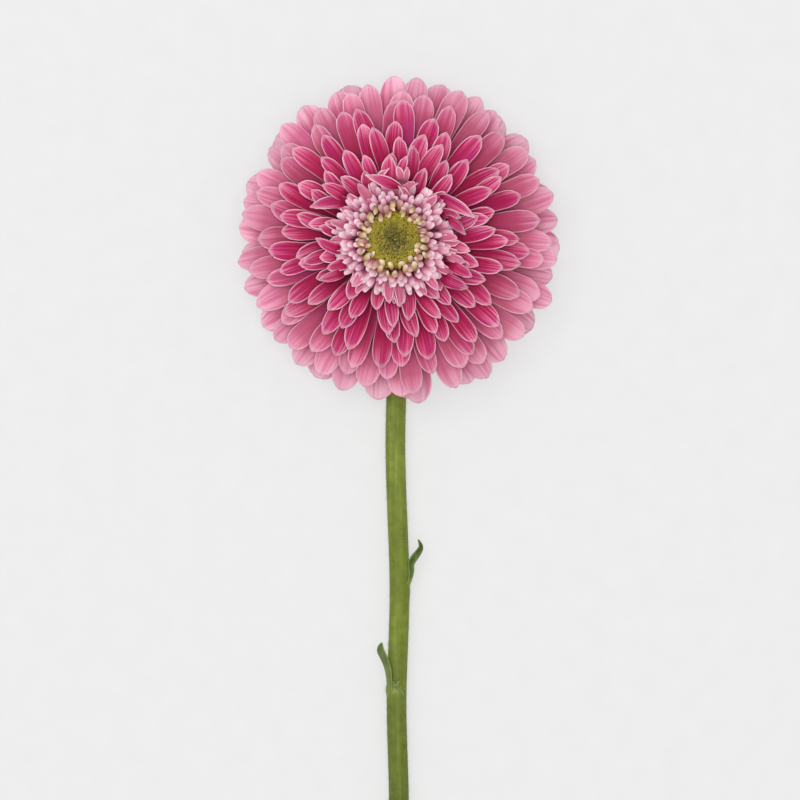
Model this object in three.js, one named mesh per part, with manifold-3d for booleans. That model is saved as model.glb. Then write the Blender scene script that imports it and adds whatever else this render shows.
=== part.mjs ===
// A cut double gerbera, lying on its back on a flat surface: the head faces up and the scape runs
// along -Y. Millimetres, +Z up. Inside this file x and y are measured from the axis of the head and z
// from the surface; the last lines move the origin to the middle of the flower's footprint.
import * as THREE from "three";
import { mergeVertices } from "three/addons/utils/BufferGeometryUtils.js";
import Module from "manifold-3d";

const wasm = await Module();
wasm.setup();

// ---------------------------------------------------------------- driving dimensions

const HEAD_RADIUS = 55.2; // axis to the tips of the lowest ray florets, on average
const HEAD_LEAN = 1.7; // the ray florets reach this much further towards one side
const LEAN_TOWARDS = THREE.MathUtils.degToRad(15);
const OVERALL_LENGTH = 400; // far edge of the head to the cut end of the scape
const SCAPE_RADIUS = 3.4;
const CUT_SLANT = THREE.MathUtils.degToRad(35); // the cut across the scape looks up by this angle
const NECK_BEND = 7.6; // radius of the bend that turns the scape up into the head
const NECK_FLARE = 1.25; // how much wider the scape is where it meets the head
const GAP = 0.3; // clear space between touching pieces

const CUP_DEPTH = 11.6; // the involucre's cup
const CUP_RADIUS = 16.2;
const RECEPTACLE_DEPTH = 7.6; // the pad that every floret grows from
const RECEPTACLE_RADIUS = 16;
const RECEPTACLE_TOP_RADIUS = 13.9;

const RAY_COUNT = 186; // large petals, in one spiral from the rim inwards
const RIM_SHARE = 0.15; // this share of them reaches the head's full radius
const RAY_TIP_INNER = 23; // axis to the tip of the innermost large petal
const RAY_WIDTH_OUTER = 12.8;
const RAY_WIDTH_INNER = 4.1;
const RAY_SWING = 3; // how far a tip may lie to the side of its root's direction
const RAY_THICKNESS = 0.64;
const RESTING_RAYS = 8; // the lowest petals, whose tips lie on the surface
const RAY_TIP_HANG = 3.5; // how high the tips of the next ones hang
const TIP_PRESS = 0.4; // how far into the surface the curve of a resting petal is aimed

const SMALL_COUNT = 80; // short pale florets round the eye
const SMALL_WIDTH = 2.2;
const SMALL_THICKNESS = 1.3;
const SMALL_RING = [11.3, 13.6]; // their roots, axis to inside and outside
const SMALL_TIPS = [12.6, 21.6]; // and their tips
const CREAM_COUNT = 24; // open disc florets with cream tips
const CREAM_WIDTH = 1.5;
const CREAM_RING = [9.3, 10.5];
const DISC_RADIUS = 8.9; // the green eye
const DISC_HEIGHT = 1.9;

const GOLDEN_ANGLE = Math.PI * (3 - Math.sqrt(5));
const SEED = 4.7;

// ---------------------------------------------------------------- heights above the surface

const SCAPE_SIDES = 12;
const FLAT = Math.cos(Math.PI / SCAPE_SIDES); // centre to a flat of the twelve-sided scape, per unit radius
const NECK_TOP = SCAPE_RADIUS * FLAT + NECK_BEND;
const CUP_BASE = NECK_TOP + GAP;
const CUP_RIM = CUP_BASE + CUP_DEPTH;
const PAD_BASE = CUP_RIM + GAP;
const PAD_TOP = PAD_BASE + RECEPTACLE_DEPTH;
const EYE_BASE = PAD_TOP + GAP;

// ---------------------------------------------------------------- small tools

const mix = (a, b, t) => a + (b - a) * t;
const smooth = (low, high, x) => THREE.MathUtils.smoothstep(x, low, high);

// A repeatable draw between -1 and 1, for item n and purpose k.
function draw(n, k) {
  const wave = Math.sin(n * 12.9898 + k * 78.233 + SEED) * 43758.5453;
  return 2 * (wave - Math.floor(wave)) - 1;
}

// A closed skin over a row of sections, each a ring of as many points. It ends in a flat face, or in
// the point given as tip.
function loft(sections, tip) {
  const sides = sections[0].length;
  const points = sections.flat();
  const faces = [];
  for (let s = 0; s + 1 < sections.length; s++)
    for (let i = 0; i < sides; i++) {
      const a = s * sides + i;
      const b = s * sides + ((i + 1) % sides);
      faces.push(a, b, b + sides, a, b + sides, a + sides);
    }
  for (let i = 1; i + 1 < sides; i++) faces.push(0, i + 1, i);
  const last = (sections.length - 1) * sides;
  if (tip) {
    points.push(tip);
    for (let i = 0; i < sides; i++) faces.push(last + i, last + ((i + 1) % sides), points.length - 1);
  } else {
    for (let i = 1; i + 1 < sides; i++) faces.push(last, last + i, last + i + 1);
  }
  return new THREE.BufferGeometry().setFromPoints(points).setIndex(faces);
}

// A body turned about the head's axis, from [radius, height] pairs that start and end on the axis.
function turned(profile, segments) {
  const points = profile.map(([radius, height]) => new THREE.Vector2(radius, height));
  return new THREE.LatheGeometry(points, segments).rotateX(Math.PI / 2);
}

function solidOf(geometry) {
  const bare = new THREE.BufferGeometry().setAttribute("position", geometry.getAttribute("position"));
  bare.setIndex(geometry.index);
  const merged = mergeVertices(bare, 1e-4);
  const body = new wasm.Mesh({
    numProp: 3,
    vertProperties: new Float32Array(merged.getAttribute("position").array),
    triVerts: new Uint32Array(merged.index.array),
  });
  return new wasm.Manifold(body);
}

// Joins solids into one body. A loose scrap is dropped, and a hollow that the joining seals is filled.
function fuse(solids) {
  const bodies = wasm.Manifold.union(solids).decompose();
  return bodies.reduce((most, body) => (body.volume() > most.volume() ? body : most));
}

function named(name, solid, material) {
  const { vertProperties, triVerts } = solid.getMesh();
  const geometry = new THREE.BufferGeometry();
  geometry.setAttribute("position", new THREE.BufferAttribute(vertProperties, 3));
  geometry.setIndex(new THREE.BufferAttribute(triVerts, 1));
  geometry.computeVertexNormals();
  const mesh = new THREE.Mesh(geometry, material);
  mesh.name = name;
  return mesh;
}

function matt(color, roughness) {
  return new THREE.MeshStandardMaterial({ color, roughness, metalness: 0 });
}

const RAY_PINK = matt("#c4487c", 0.55);
const PALE_PINK = matt("#dba0b6", 0.6);
const CREAM = matt("#e2cfa6", 0.6);
const EYE_GREEN = matt("#8f8f2e", 0.8);
const SCAPE_GREEN = matt("#758a3c", 0.6);
const BRACT_GREEN = matt("#56712f", 0.65);

// ---------------------------------------------------------------- the scape's line

// How far the scape sways to the right, at distances below the head's axis.
const SWAY = [
  [0, 0],
  [40, 1.0],
  [69, 0.5],
  [122, 1.9],
  [159, 0.9],
  [192, 1.7],
  [250, 0.6],
  [345, -1.6],
];
const swayLine = new THREE.CatmullRomCurve3(SWAY.map(([down, right]) => new THREE.Vector3(right, -down, 0)));
const swayTrack = swayLine.getPoints(200);

function swayAt(y) {
  const next = swayTrack.findIndex((p) => p.y <= y);
  if (next < 1) return next < 0 ? swayTrack.at(-1).x : 0;
  const [a, b] = [swayTrack[next - 1], swayTrack[next]];
  return mix(a.x, b.x, (y - a.y) / (b.y - a.y));
}

// The lowest height that a petal may have: the surface, or the top of the scape where it passes below.
function ground(x, y) {
  if (y > 0) return 0;
  const off = Math.abs(x - swayAt(y));
  return (2 * SCAPE_RADIUS + 2 * GAP) * (1 - smooth(1.3 * SCAPE_RADIUS, 4 * SCAPE_RADIUS, off));
}

// ---------------------------------------------------------------- blades: petals, florets, bracts

// One section of a blade: left edge, underside, right edge, top, with the edges raised by the cup.
function bladeSection(centre, across, up, halfWidth, cup, thickness) {
  const at = (side, height) => centre.clone().addScaledVector(across, side).addScaledVector(up, height);
  const rise = cup * halfWidth;
  return [at(-halfWidth, rise), at(0, -thickness / 2), at(halfWidth, rise), at(0, thickness / 2)];
}

// Raises a section, without bending it, until no point is below the ground.
function settle(points) {
  const short = Math.max(0, ...points.map((p) => ground(p.x, p.y) - p.z));
  for (const p of points) p.z += short;
  return points;
}

// A blade that grows out from the head's axis in the upright plane at an azimuth. Its spine is a curve
// of [radius, height]; it swings sideways and rolls about its spine.
function radialBlade({ azimuth, spine, halfWidth, outline, stations, cup, thickness, swing = 0, roll = 0 }) {
  const out = new THREE.Vector3(Math.cos(azimuth), Math.sin(azimuth), 0);
  const left = new THREE.Vector3(-out.y, out.x, 0);
  const high = new THREE.Vector3(0, 0, 1);
  const centreAt = (t) => {
    const { x: radius, y: height } = spine.getPoint(t);
    const point = out.clone().multiplyScalar(radius).addScaledVector(high, height);
    return point.addScaledVector(left, swing * t * t);
  };
  const sections = stations.map((t) => {
    const along = spine.getTangent(t);
    const normal = new THREE.Vector3().addScaledVector(out, -along.y).addScaledVector(high, along.x);
    const across = left.clone().multiplyScalar(Math.cos(roll)).addScaledVector(normal, Math.sin(roll));
    const up = normal.multiplyScalar(Math.cos(roll)).addScaledVector(left, -Math.sin(roll));
    return settle(bladeSection(centreAt(t), across, up, halfWidth * outline(t), cup, thickness));
  });
  const [tip] = settle([centreAt(1).addScaledVector(high, cup * halfWidth * 0.5)]);
  return loft(sections, tip);
}

// A spine that leaves the root at an angle of rise and comes down to the tip.
function archedSpine(root, tip, rise) {
  const reach = 0.5 * (tip.x - root.x);
  const knee = new THREE.Vector2(root.x + reach, root.y + Math.abs(reach) * Math.tan(rise));
  return new THREE.QuadraticBezierCurve(root, knee, tip);
}

// ---------------------------------------------------------------- ray florets

// A strap-shaped petal: a narrow foot, widest at two thirds of its length, and a blunt round tip.
const WIDEST = 0.66;
function rayOutline(t) {
  if (t < WIDEST) return 0.2 + 0.8 * smooth(0, WIDEST, t);
  return Math.sqrt(Math.max(0, 1 - Math.pow((t - WIDEST) / (1 - WIDEST), 3)));
}

function rayFloret(n) {
  const s = n / (RAY_COUNT - 1); // 0 at the rim, 1 beside the pale florets
  const azimuth = n * GOLDEN_ANGLE + 0.05 * draw(n, 1);
  const inwards = Math.pow(Math.max(0, s - RIM_SHARE) / (1 - RIM_SHARE), 1.35);
  const lean = HEAD_LEAN * Math.cos(azimuth - LEAN_TOWARDS);
  const tipRadius = mix(HEAD_RADIUS, RAY_TIP_INNER, inwards) * (1 + 0.02 * draw(n, 2)) + lean;
  const hanging = mix(RAY_TIP_HANG, PAD_TOP + 0.8, Math.pow(s, 0.7)) + draw(n, 3) * (1 - s);
  const below = ground(tipRadius * Math.cos(azimuth), tipRadius * Math.sin(azimuth));
  const tipHeight = n < RESTING_RAYS ? below - TIP_PRESS : Math.max(below, hanging);
  const rootRadius = mix(RECEPTACLE_RADIUS, RECEPTACLE_TOP_RADIUS, s) - 1.6;
  const rootHeight = mix(PAD_BASE + 1.4, PAD_TOP - 1.5, s);
  return radialBlade({
    azimuth,
    spine: archedSpine(
      new THREE.Vector2(rootRadius, rootHeight),
      new THREE.Vector2(tipRadius, tipHeight),
      THREE.MathUtils.degToRad(mix(-4, 24, s)),
    ),
    halfWidth: (mix(RAY_WIDTH_OUTER, RAY_WIDTH_INNER, Math.sqrt(s)) / 2) * (1 + 0.1 * draw(n, 4)),
    outline: rayOutline,
    stations: [0, 0.5, 0.88],
    cup: mix(0.06, 0.22, s),
    thickness: RAY_THICKNESS,
    swing: mix(0.5, 1, smooth(0, 0.6, s)) * RAY_SWING * draw(n, 5),
    roll: 0.1 * draw(n, 6),
  });
}

const receptacle = turned(
  [
    [0, PAD_BASE],
    [RECEPTACLE_RADIUS - 0.8, PAD_BASE],
    [RECEPTACLE_RADIUS, PAD_BASE + 1.6],
    [RECEPTACLE_RADIUS - 0.7, mix(PAD_BASE, PAD_TOP, 0.65)],
    [RECEPTACLE_TOP_RADIUS, PAD_TOP],
    [0, PAD_TOP],
  ],
  28,
);

// The space above the large petals that the short florets take.
const florets = turned(
  [
    [0, PAD_TOP + 0.01],
    [RECEPTACLE_TOP_RADIUS, PAD_TOP + 0.01],
    [RAY_TIP_INNER - 1, PAD_TOP + 1.3],
    [RAY_TIP_INNER - 1, PAD_TOP + 12],
    [0, PAD_TOP + 12],
  ],
  28,
);
const rays = Array.from({ length: RAY_COUNT }, (_, n) => solidOf(rayFloret(n)));
const rayHead = fuse([fuse([solidOf(receptacle), ...rays]).subtract(solidOf(florets))]);

// ---------------------------------------------------------------- short pale florets

function smallFloret(n) {
  const s = n / (SMALL_COUNT - 1); // 0 at the outside of the ring
  const rootRadius = mix(SMALL_RING[1], SMALL_RING[0], s);
  const tipRadius = mix(SMALL_TIPS[1], SMALL_TIPS[0], Math.pow(s, 0.85)) + 0.5 * draw(n, 7);
  return radialBlade({
    azimuth: n * GOLDEN_ANGLE + 0.06 * draw(n, 8),
    spine: archedSpine(
      new THREE.Vector2(rootRadius - 0.2, EYE_BASE + 0.8),
      new THREE.Vector2(tipRadius, mix(EYE_BASE + 3, EYE_BASE + 5.4, s) + 0.3 * draw(n, 9)),
      THREE.MathUtils.degToRad(mix(32, 66, s)),
    ),
    halfWidth: (SMALL_WIDTH / 2) * mix(1.1, 0.8, s),
    outline: (t) => mix(0.6, 1, t / 0.8),
    stations: [0, 0.8],
    cup: 0.1,
    thickness: SMALL_THICKNESS,
  });
}

const smallBase = turned(
  [
    [SMALL_RING[0] - 0.2, EYE_BASE],
    [SMALL_RING[1] + 0.2, EYE_BASE],
    [SMALL_RING[1] + 0.4, EYE_BASE + 1.2],
    [mix(...SMALL_RING, 0.5), EYE_BASE + 2.2],
    [SMALL_RING[0] - 0.2, EYE_BASE + 1.8],
    [SMALL_RING[0] - 0.2, EYE_BASE],
  ],
  28,
);
const smallSolids = Array.from({ length: SMALL_COUNT }, (_, n) => solidOf(smallFloret(n)));
const smallRing = fuse([solidOf(smallBase), ...smallSolids]);

// ---------------------------------------------------------------- cream-tipped disc florets

function creamFloret(n) {
  const [inside, outside] = CREAM_RING;
  const reach = 0.5 * draw(n, 10);
  return radialBlade({
    azimuth: ((n + 0.25 * draw(n, 11)) * 2 * Math.PI) / CREAM_COUNT,
    spine: archedSpine(
      new THREE.Vector2(outside - 0.3, EYE_BASE + 0.4),
      new THREE.Vector2(inside - 0.1 + reach, EYE_BASE + 3.7),
      THREE.MathUtils.degToRad(70),
    ),
    halfWidth: CREAM_WIDTH / 2,
    outline: (t) => mix(0.7, 1, t / 0.75),
    stations: [0, 0.75],
    cup: 0.1,
    thickness: 1,
  });
}

const creamBase = turned(
  [
    [CREAM_RING[0] - 0.1, EYE_BASE],
    [CREAM_RING[1] - 0.1, EYE_BASE],
    [CREAM_RING[1] - 0.1, EYE_BASE + 1],
    [CREAM_RING[0] - 0.1, EYE_BASE + 1],
    [CREAM_RING[0] - 0.1, EYE_BASE],
  ],
  28,
);
const creamSolids = Array.from({ length: CREAM_COUNT }, (_, n) => solidOf(creamFloret(n)));

// ---------------------------------------------------------------- the green eye

// Closed disc florets, as knobs raised alternately round each ring of a low dome.
const KNOB_RINGS = 8;
const KNOBS_ROUND = 36;
const KNOB_RELIEF = 0.22;

function greenEye() {
  const profile = [[0, EYE_BASE], [DISC_RADIUS, EYE_BASE], [DISC_RADIUS, EYE_BASE + 0.9]];
  for (let ring = KNOB_RINGS - 1; ring >= 0; ring--) {
    const share = ring / KNOB_RINGS;
    const dimple = 0.5 * (1 - smooth(0, 0.45, share));
    profile.push([DISC_RADIUS * share, EYE_BASE + DISC_HEIGHT - Math.pow(share, 3) - dimple]);
  }
  const dome = turned(profile, KNOBS_ROUND);
  const points = dome.getAttribute("position");
  for (let i = 0; i < points.count; i++) {
    const [x, y, z] = [points.getX(i), points.getY(i), points.getZ(i)];
    const radius = Math.hypot(x, y);
    if (z < EYE_BASE + 0.95 || radius < 0.01) continue;
    const ring = Math.round((radius / DISC_RADIUS) * KNOB_RINGS);
    const round = Math.round((Math.atan2(y, x) / (2 * Math.PI)) * KNOBS_ROUND);
    points.setZ(i, z + KNOB_RELIEF * ((ring + round) % 2 === 0 ? 1 : -1));
  }
  return dome;
}

// ---------------------------------------------------------------- involucre

const cupProfile = [
  [0, CUP_BASE],
  [SCAPE_RADIUS * NECK_FLARE + 0.6, CUP_BASE],
  [0.55 * CUP_RADIUS, CUP_BASE + 0.14 * CUP_DEPTH],
  [0.82 * CUP_RADIUS, CUP_BASE + 0.46 * CUP_DEPTH],
  [0.97 * CUP_RADIUS, CUP_BASE + 0.82 * CUP_DEPTH],
  [CUP_RADIUS, CUP_RIM],
  [0, CUP_RIM],
];

// Narrow green bracts that overlap up the outside of the cup, in rows of root and tip.
const BRACT_ROWS = [
  { count: 14, root: [5.6, 0.06], tip: [15.9, 0.62], rise: 10 },
  { count: 16, root: [11.4, 0.32], tip: [18.9, 0.93], rise: 30 },
];

function involucreBract(row, i) {
  const height = (share) => CUP_BASE + share * CUP_DEPTH;
  return radialBlade({
    azimuth: ((i + 0.5 * BRACT_ROWS.indexOf(row) + 0.12 * draw(i, 12)) * 2 * Math.PI) / row.count,
    spine: archedSpine(
      new THREE.Vector2(row.root[0], height(row.root[1]) + 0.4),
      new THREE.Vector2(row.tip[0], height(row.tip[1]) + 0.3 * draw(i, 13)),
      THREE.MathUtils.degToRad(row.rise),
    ),
    halfWidth: 1.9,
    outline: (t) => 1 - 0.55 * t * t,
    stations: [0, 0.45, 0.8],
    cup: 0.25,
    thickness: 0.9,
  });
}

const bracts = BRACT_ROWS.flatMap((row) =>
  Array.from({ length: row.count }, (_, i) => solidOf(involucreBract(row, i))),
);
const involucre = fuse([solidOf(turned(cupProfile, 28)), ...bracts]);

// ---------------------------------------------------------------- scape

const SCAPE_END = OVERALL_LENGTH - HEAD_RADIUS; // axis to the middle of the cut
const LYING_STATIONS = 22;
const BEND_STATIONS = 6;

// A twelve-sided stem that lies with one flat on the surface. Extra widens it, to cut clearances.
function scape(extra = 0) {
  const ring = (centre, tangent, radius, slant = 0) => {
    const right = new THREE.Vector3(1, 0, 0);
    const up = new THREE.Vector3().crossVectors(right, tangent).normalize();
    return Array.from({ length: SCAPE_SIDES }, (_, i) => {
      const turn = ((i + 0.5) * 2 * Math.PI) / SCAPE_SIDES;
      const height = (radius + extra) * Math.cos(turn);
      return centre
        .clone()
        .addScaledVector(right, (radius + extra) * Math.sin(turn))
        .addScaledVector(up, height)
        .addScaledVector(tangent, height * Math.tan(slant));
    });
  };
  const sections = [];
  const north = new THREE.Vector3(0, 1, 0);
  for (let i = 0; i <= LYING_STATIONS; i++) {
    const y = mix(-SCAPE_END, -NECK_BEND, i / LYING_STATIONS);
    const radius = SCAPE_RADIUS * (1 + 0.05 * smooth(-0.5 * SCAPE_END, -SCAPE_END, y));
    const centre = new THREE.Vector3(swayAt(y), y, radius * FLAT);
    sections.push(ring(centre, north, radius, i === 0 ? CUT_SLANT : 0));
  }
  for (let i = 1; i <= BEND_STATIONS; i++) {
    const turn = (i / BEND_STATIONS) * (Math.PI / 2);
    const centre = new THREE.Vector3(
      swayAt(-NECK_BEND) * (1 - i / BEND_STATIONS),
      -NECK_BEND * (1 - Math.sin(turn)),
      SCAPE_RADIUS * FLAT + NECK_BEND * (1 - Math.cos(turn)),
    );
    const tangent = new THREE.Vector3(0, Math.cos(turn), Math.sin(turn));
    sections.push(ring(centre, tangent, SCAPE_RADIUS * mix(1, NECK_FLARE, i / BEND_STATIONS)));
  }
  return loft(sections);
}

// ---------------------------------------------------------------- bracts on the scape

// A small leaf beside the scape. Its spine is a row of [x, y, z] points. Turns say how its width lies
// at the root and at the tip: 0 is upright, 1 is level, and past 1 it faces the scape's left side.
function scapeBract(points, width, turns) {
  const spine = new THREE.CatmullRomCurve3(points.map((p) => new THREE.Vector3(...p)));
  const stations = [0, 0.2, 0.4, 0.6, 0.8, 0.93];
  const sections = stations.map((t) => {
    const along = spine.getTangent(t);
    const sideways = new THREE.Vector3(-along.y, along.x, 0).normalize();
    const turn = mix(...turns, t) * (Math.PI / 2);
    const across = new THREE.Vector3(0, 0, Math.cos(turn)).addScaledVector(sideways, Math.sin(turn));
    const up = new THREE.Vector3().crossVectors(along, across).normalize();
    const halfWidth = (width / 2) * (0.55 + 0.45 * Math.sin(Math.PI * Math.min(1, t * 1.1)));
    return bladeSection(spine.getPoint(t), across, up, halfWidth * (1 - 0.5 * smooth(0.7, 1, t)), 0.15, 0.9);
  });
  return loft(sections, spine.getPoint(1));
}

const RIGHT_BRACT = [
  [4.4, -120.0, 5.2],
  [5.6, -117.0, 4.9],
  [6.4, -113.4, 4.6],
  [6.4, -110.8, 4.6],
  [7.6, -108.2, 4.7],
  [9.3, -105.8, 4.9],
  [9.8, -104.0, 5.1],
  [8.8, -101.8, 5.3],
];
const LEFT_BRACT = [
  [-1.5, -155.4, 6.0],
  [-1.4, -152.2, 6.9],
  [-1.6, -149.0, 7.2],
  [-2.2, -145.9, 7.1],
  [-3.3, -142.9, 6.7],
  [-4.5, -140.2, 6.3],
  [-4.2, -137.6, 6.2],
];
const BRACT_WIDTH = 3;

// ---------------------------------------------------------------- the flower

const clearance = solidOf(scape(GAP));
const besideScape = (geometry) => fuse([solidOf(geometry).subtract(clearance)]);
const pieces = [
  named("ray_florets", rayHead, RAY_PINK),
  named("short_florets", smallRing, PALE_PINK),
  named("open_disc_florets", fuse([solidOf(creamBase), ...creamSolids]), CREAM),
  named("disc_buds", solidOf(greenEye()), EYE_GREEN),
  named("involucre", involucre, BRACT_GREEN),
  named("scape", solidOf(scape()), SCAPE_GREEN),
  named("right_scape_bract", besideScape(scapeBract(RIGHT_BRACT, BRACT_WIDTH, [0.75, 0.95])), BRACT_GREEN),
  named("left_scape_bract", besideScape(scapeBract(LEFT_BRACT, BRACT_WIDTH, [1.35, 1.1])), BRACT_GREEN),
];

const flower = new THREE.Group();
flower.add(...pieces);
const footprint = new THREE.Box3().setFromObject(flower, true).getCenter(new THREE.Vector3());
flower.position.set(-footprint.x, -footprint.y, 0);

const gerbera = new THREE.Group();
gerbera.add(flower);
export default gerbera;
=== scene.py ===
# %% [markdown]
# # A cut gerbera in Blender
#
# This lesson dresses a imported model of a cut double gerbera. The flower lies on its back on a table:
# the head faces up, and the leafless stem, which botanists call the scape, runs away from it. Each
# step first says what a part is on the real flower, how it could be made, and why one way was taken.
#
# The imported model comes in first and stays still. It gives every place that the new pieces need.

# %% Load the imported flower
import math

import bpy
import numpy as np
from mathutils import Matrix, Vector


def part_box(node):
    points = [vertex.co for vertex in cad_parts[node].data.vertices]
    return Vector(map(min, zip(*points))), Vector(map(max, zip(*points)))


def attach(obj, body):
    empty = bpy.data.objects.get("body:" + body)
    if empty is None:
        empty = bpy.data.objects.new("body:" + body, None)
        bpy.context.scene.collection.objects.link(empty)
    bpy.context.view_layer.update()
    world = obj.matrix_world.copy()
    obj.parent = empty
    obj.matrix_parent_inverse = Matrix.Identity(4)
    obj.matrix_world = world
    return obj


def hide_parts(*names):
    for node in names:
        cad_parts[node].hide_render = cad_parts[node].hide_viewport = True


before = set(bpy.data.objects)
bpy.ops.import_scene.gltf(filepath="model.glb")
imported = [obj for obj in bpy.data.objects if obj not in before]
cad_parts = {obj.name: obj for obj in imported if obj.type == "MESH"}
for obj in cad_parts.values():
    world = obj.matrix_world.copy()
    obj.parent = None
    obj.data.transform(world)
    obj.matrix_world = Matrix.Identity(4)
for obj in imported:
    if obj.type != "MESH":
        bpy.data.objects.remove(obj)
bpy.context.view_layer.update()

MM = 0.001
bpy.ops.object.select_all(action="DESELECT")
print("nodes:", sorted(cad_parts))

# %% [markdown]
# ## Where things are
#
# A gerbera's head is a daisy's: hundreds of small flowers, the florets, crowd on one round pad, the
# receptacle. All of them are placed round its axis, so the axis and the pad's height are read from
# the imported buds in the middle. The other sizes are those of a large cut gerbera.

# %% Places and sizes
buds_low, buds_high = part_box("disc_buds")
HEAD_X = 0.5 * (buds_low.x + buds_high.x)
HEAD_Y = 0.5 * (buds_low.y + buds_high.y)
DISC_RADIUS = 0.5 * (buds_high.x - buds_low.x)
EYE_BASE = buds_low.z
GAP = 0.3 * MM  # between the pad and its neighbours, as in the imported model
RECEPTACLE_DEPTH = 7.6 * MM
RECEPTACLE_RADIUS = 16 * MM
RECEPTACLE_TOP_RADIUS = 13.9 * MM
PAD_TOP = EYE_BASE - GAP
PAD_BASE = PAD_TOP - RECEPTACLE_DEPTH
CUP_DEPTH = 11.6 * MM
CUP_BASE = PAD_BASE - GAP - CUP_DEPTH
SCAPE_RADIUS = 3.4 * MM
NECK_BEND = 7.6 * MM
NECK_FLARE = 1.25
HEAD_RADIUS = 55.2 * MM
SCAPE_END = 344.8 * MM  # the head's axis to the middle of the cut
print(f"head axis {HEAD_X / MM:.2f}, {HEAD_Y / MM:.2f} mm")
print(f"pad from {PAD_BASE / MM:.1f} to {PAD_TOP / MM:.1f} mm")

# %% [markdown]
# ## A repeatable draw
#
# No two florets are alike, yet the scene has to come out the same each time. A formula in place of
# a random generator gives each floret its own numbers between -1 and 1, whatever the order. The
# first number names the floret, and the second names what is drawn for it.

# %% Small tools
GOLDEN_ANGLE = math.pi * (3 - math.sqrt(5))
SEED = 4.7


def draw(n, k):
    wave = math.sin(n * 12.9898 + k * 78.233 + SEED) * 43758.5453
    return 2 * (wave - math.floor(wave)) - 1


def mix(a, b, t):
    return a + (b - a) * t


def smooth(low, high, x):
    t = np.clip((x - low) / (high - low), 0, 1)
    return t * t * (3 - 2 * t)


# %% [markdown]
# ## Finishes
#
# A material here is a tree of nodes. One function adds a node: its settings, and for each input
# either a value or another node's output. Colours are written as on a screen and made linear.
#
# The simplest finish drifts between two colours. It serves for the table, the bristles and the down.

# %% The finish kit
def hue(code):
    channels = [int(code[i : i + 2], 16) / 255 for i in (1, 3, 5)]
    return [c / 12.92 if c <= 0.04045 else ((c + 0.055) / 1.055) ** 2.4 for c in channels] + [1.0]


def add(tree, kind, inputs=None, stops=(), **settings):
    node = tree.nodes.new(kind)
    for name, value in settings.items():
        setattr(node, name, value)
    for socket, value in (inputs or {}).items():
        if isinstance(value, bpy.types.NodeSocket):
            tree.links.new(value, node.inputs[socket])
        else:
            node.inputs[socket].default_value = value
    for i, (place, code) in enumerate(stops):
        stop = node.color_ramp.elements[i] if i < 2 else node.color_ramp.elements.new(place)
        stop.position = place
        stop.color = hue(code)
    return node.outputs


def finish(name, **constants):
    """A new material: its node tree and its shader, with what is the same all over set on the shader."""
    material = bpy.data.materials.new(name)
    material.use_nodes = True
    tree = material.node_tree
    shader = tree.nodes["Principled BSDF"]
    for socket, value in constants.items():
        shader.inputs[socket.replace("_", " ")].default_value = value
    return material, tree, shader.inputs


def speckled(name, per_metre, stops, **constants):
    """A finish that drifts between the colours of its stops, with so many specks to the metre."""
    material, tree, shader = finish(name, **constants)
    where = add(tree, "ShaderNodeTexCoord")["Object"]
    drift = add(tree, "ShaderNodeTexNoise", {"Vector": where, "Scale": per_metre, "Detail": 2.0})
    tone = add(tree, "ShaderNodeValToRGB", {0: drift[0]}, stops=stops)
    tree.links.new(tone[0], shader["Base Color"])
    return material


# %% [markdown]
# ## Table, camera and light
#
# The photograph looks straight at the flower's face on a pale grey ground, in flat soft light that
# leaves hardly a shadow. White paint would show one round the head, so the table is of frosted glass
# and glows from below. Lying on its back, the flower is looked down on, with the head at the top of the
# picture. The lens is a long one, so that the low stem and the high face keep nearly one scale.

# %% Table
TABLE_SIDE = 8.0
FROST_GRAIN = 9 * MM  # a faint cloudiness, drawn coarser than the frosting, which is too fine to show
bpy.ops.mesh.primitive_plane_add(size=TABLE_SIDE, location=(0, 0, 0))
table = bpy.context.active_object
table.name = "table"
frosted = [(0.3, "#878787"), (0.7, "#8b8b8b")]
glass = speckled("frosted_glowing_glass", 1 / FROST_GRAIN, frosted, Roughness=0.9, Emission_Strength=0.575)
table.data.materials.append(glass)

# %% Camera
PICTURE_SIDE = 274.2 * MM  # the width that the photograph takes in
HEAD_IN_PICTURE = (-2.1 * MM, 54.5 * MM)  # the head's axis from the middle of the picture
CAMERA_HEIGHT = 3.0
FACE_HEIGHT = 8 * MM  # where the picture's scale holds
SENSOR = 36.0
camera_data = bpy.data.cameras.new("camera")
camera_data.sensor_width = SENSOR
camera_data.lens = SENSOR * (CAMERA_HEIGHT - FACE_HEIGHT) / PICTURE_SIDE
camera = bpy.data.objects.new("camera", camera_data)
camera.location = (HEAD_X - HEAD_IN_PICTURE[0], HEAD_Y - HEAD_IN_PICTURE[1], CAMERA_HEIGHT)
bpy.context.scene.collection.objects.link(camera)
bpy.context.scene.camera = camera
print(f"lens {camera_data.lens:.0f} mm")

# %% Light
SKY_STRENGTH = 0.62
SOFTBOX_WIDTH = 1.2
SOFTBOXES = {"key": ((-0.5, 0.6, 1.4), 7.5), "front": ((0.15, -0.05, 1.8), 8.0)}  # places, and watts
bpy.context.scene.view_settings.view_transform = "Standard"
world = bpy.data.worlds.new("studio")
bpy.context.scene.world = world
world.use_nodes = True
sky = world.node_tree.nodes["Background"].inputs
sky["Color"].default_value = hue("#ffffff")
sky["Strength"].default_value = SKY_STRENGTH
for name, (place, power) in SOFTBOXES.items():
    light = bpy.data.lights.new(name, "AREA")
    light.shape = "DISK"
    light.size = SOFTBOX_WIDTH
    light.energy = power
    lamp = bpy.data.objects.new(name, light)
    lamp.location = place
    lamp.rotation_euler = (Vector((HEAD_X, HEAD_Y, 0)) - lamp.location).to_track_quat("-Z", "Y").to_euler()
    bpy.context.scene.collection.objects.link(lamp)
print("softboxes:", ", ".join(SOFTBOXES))

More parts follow.
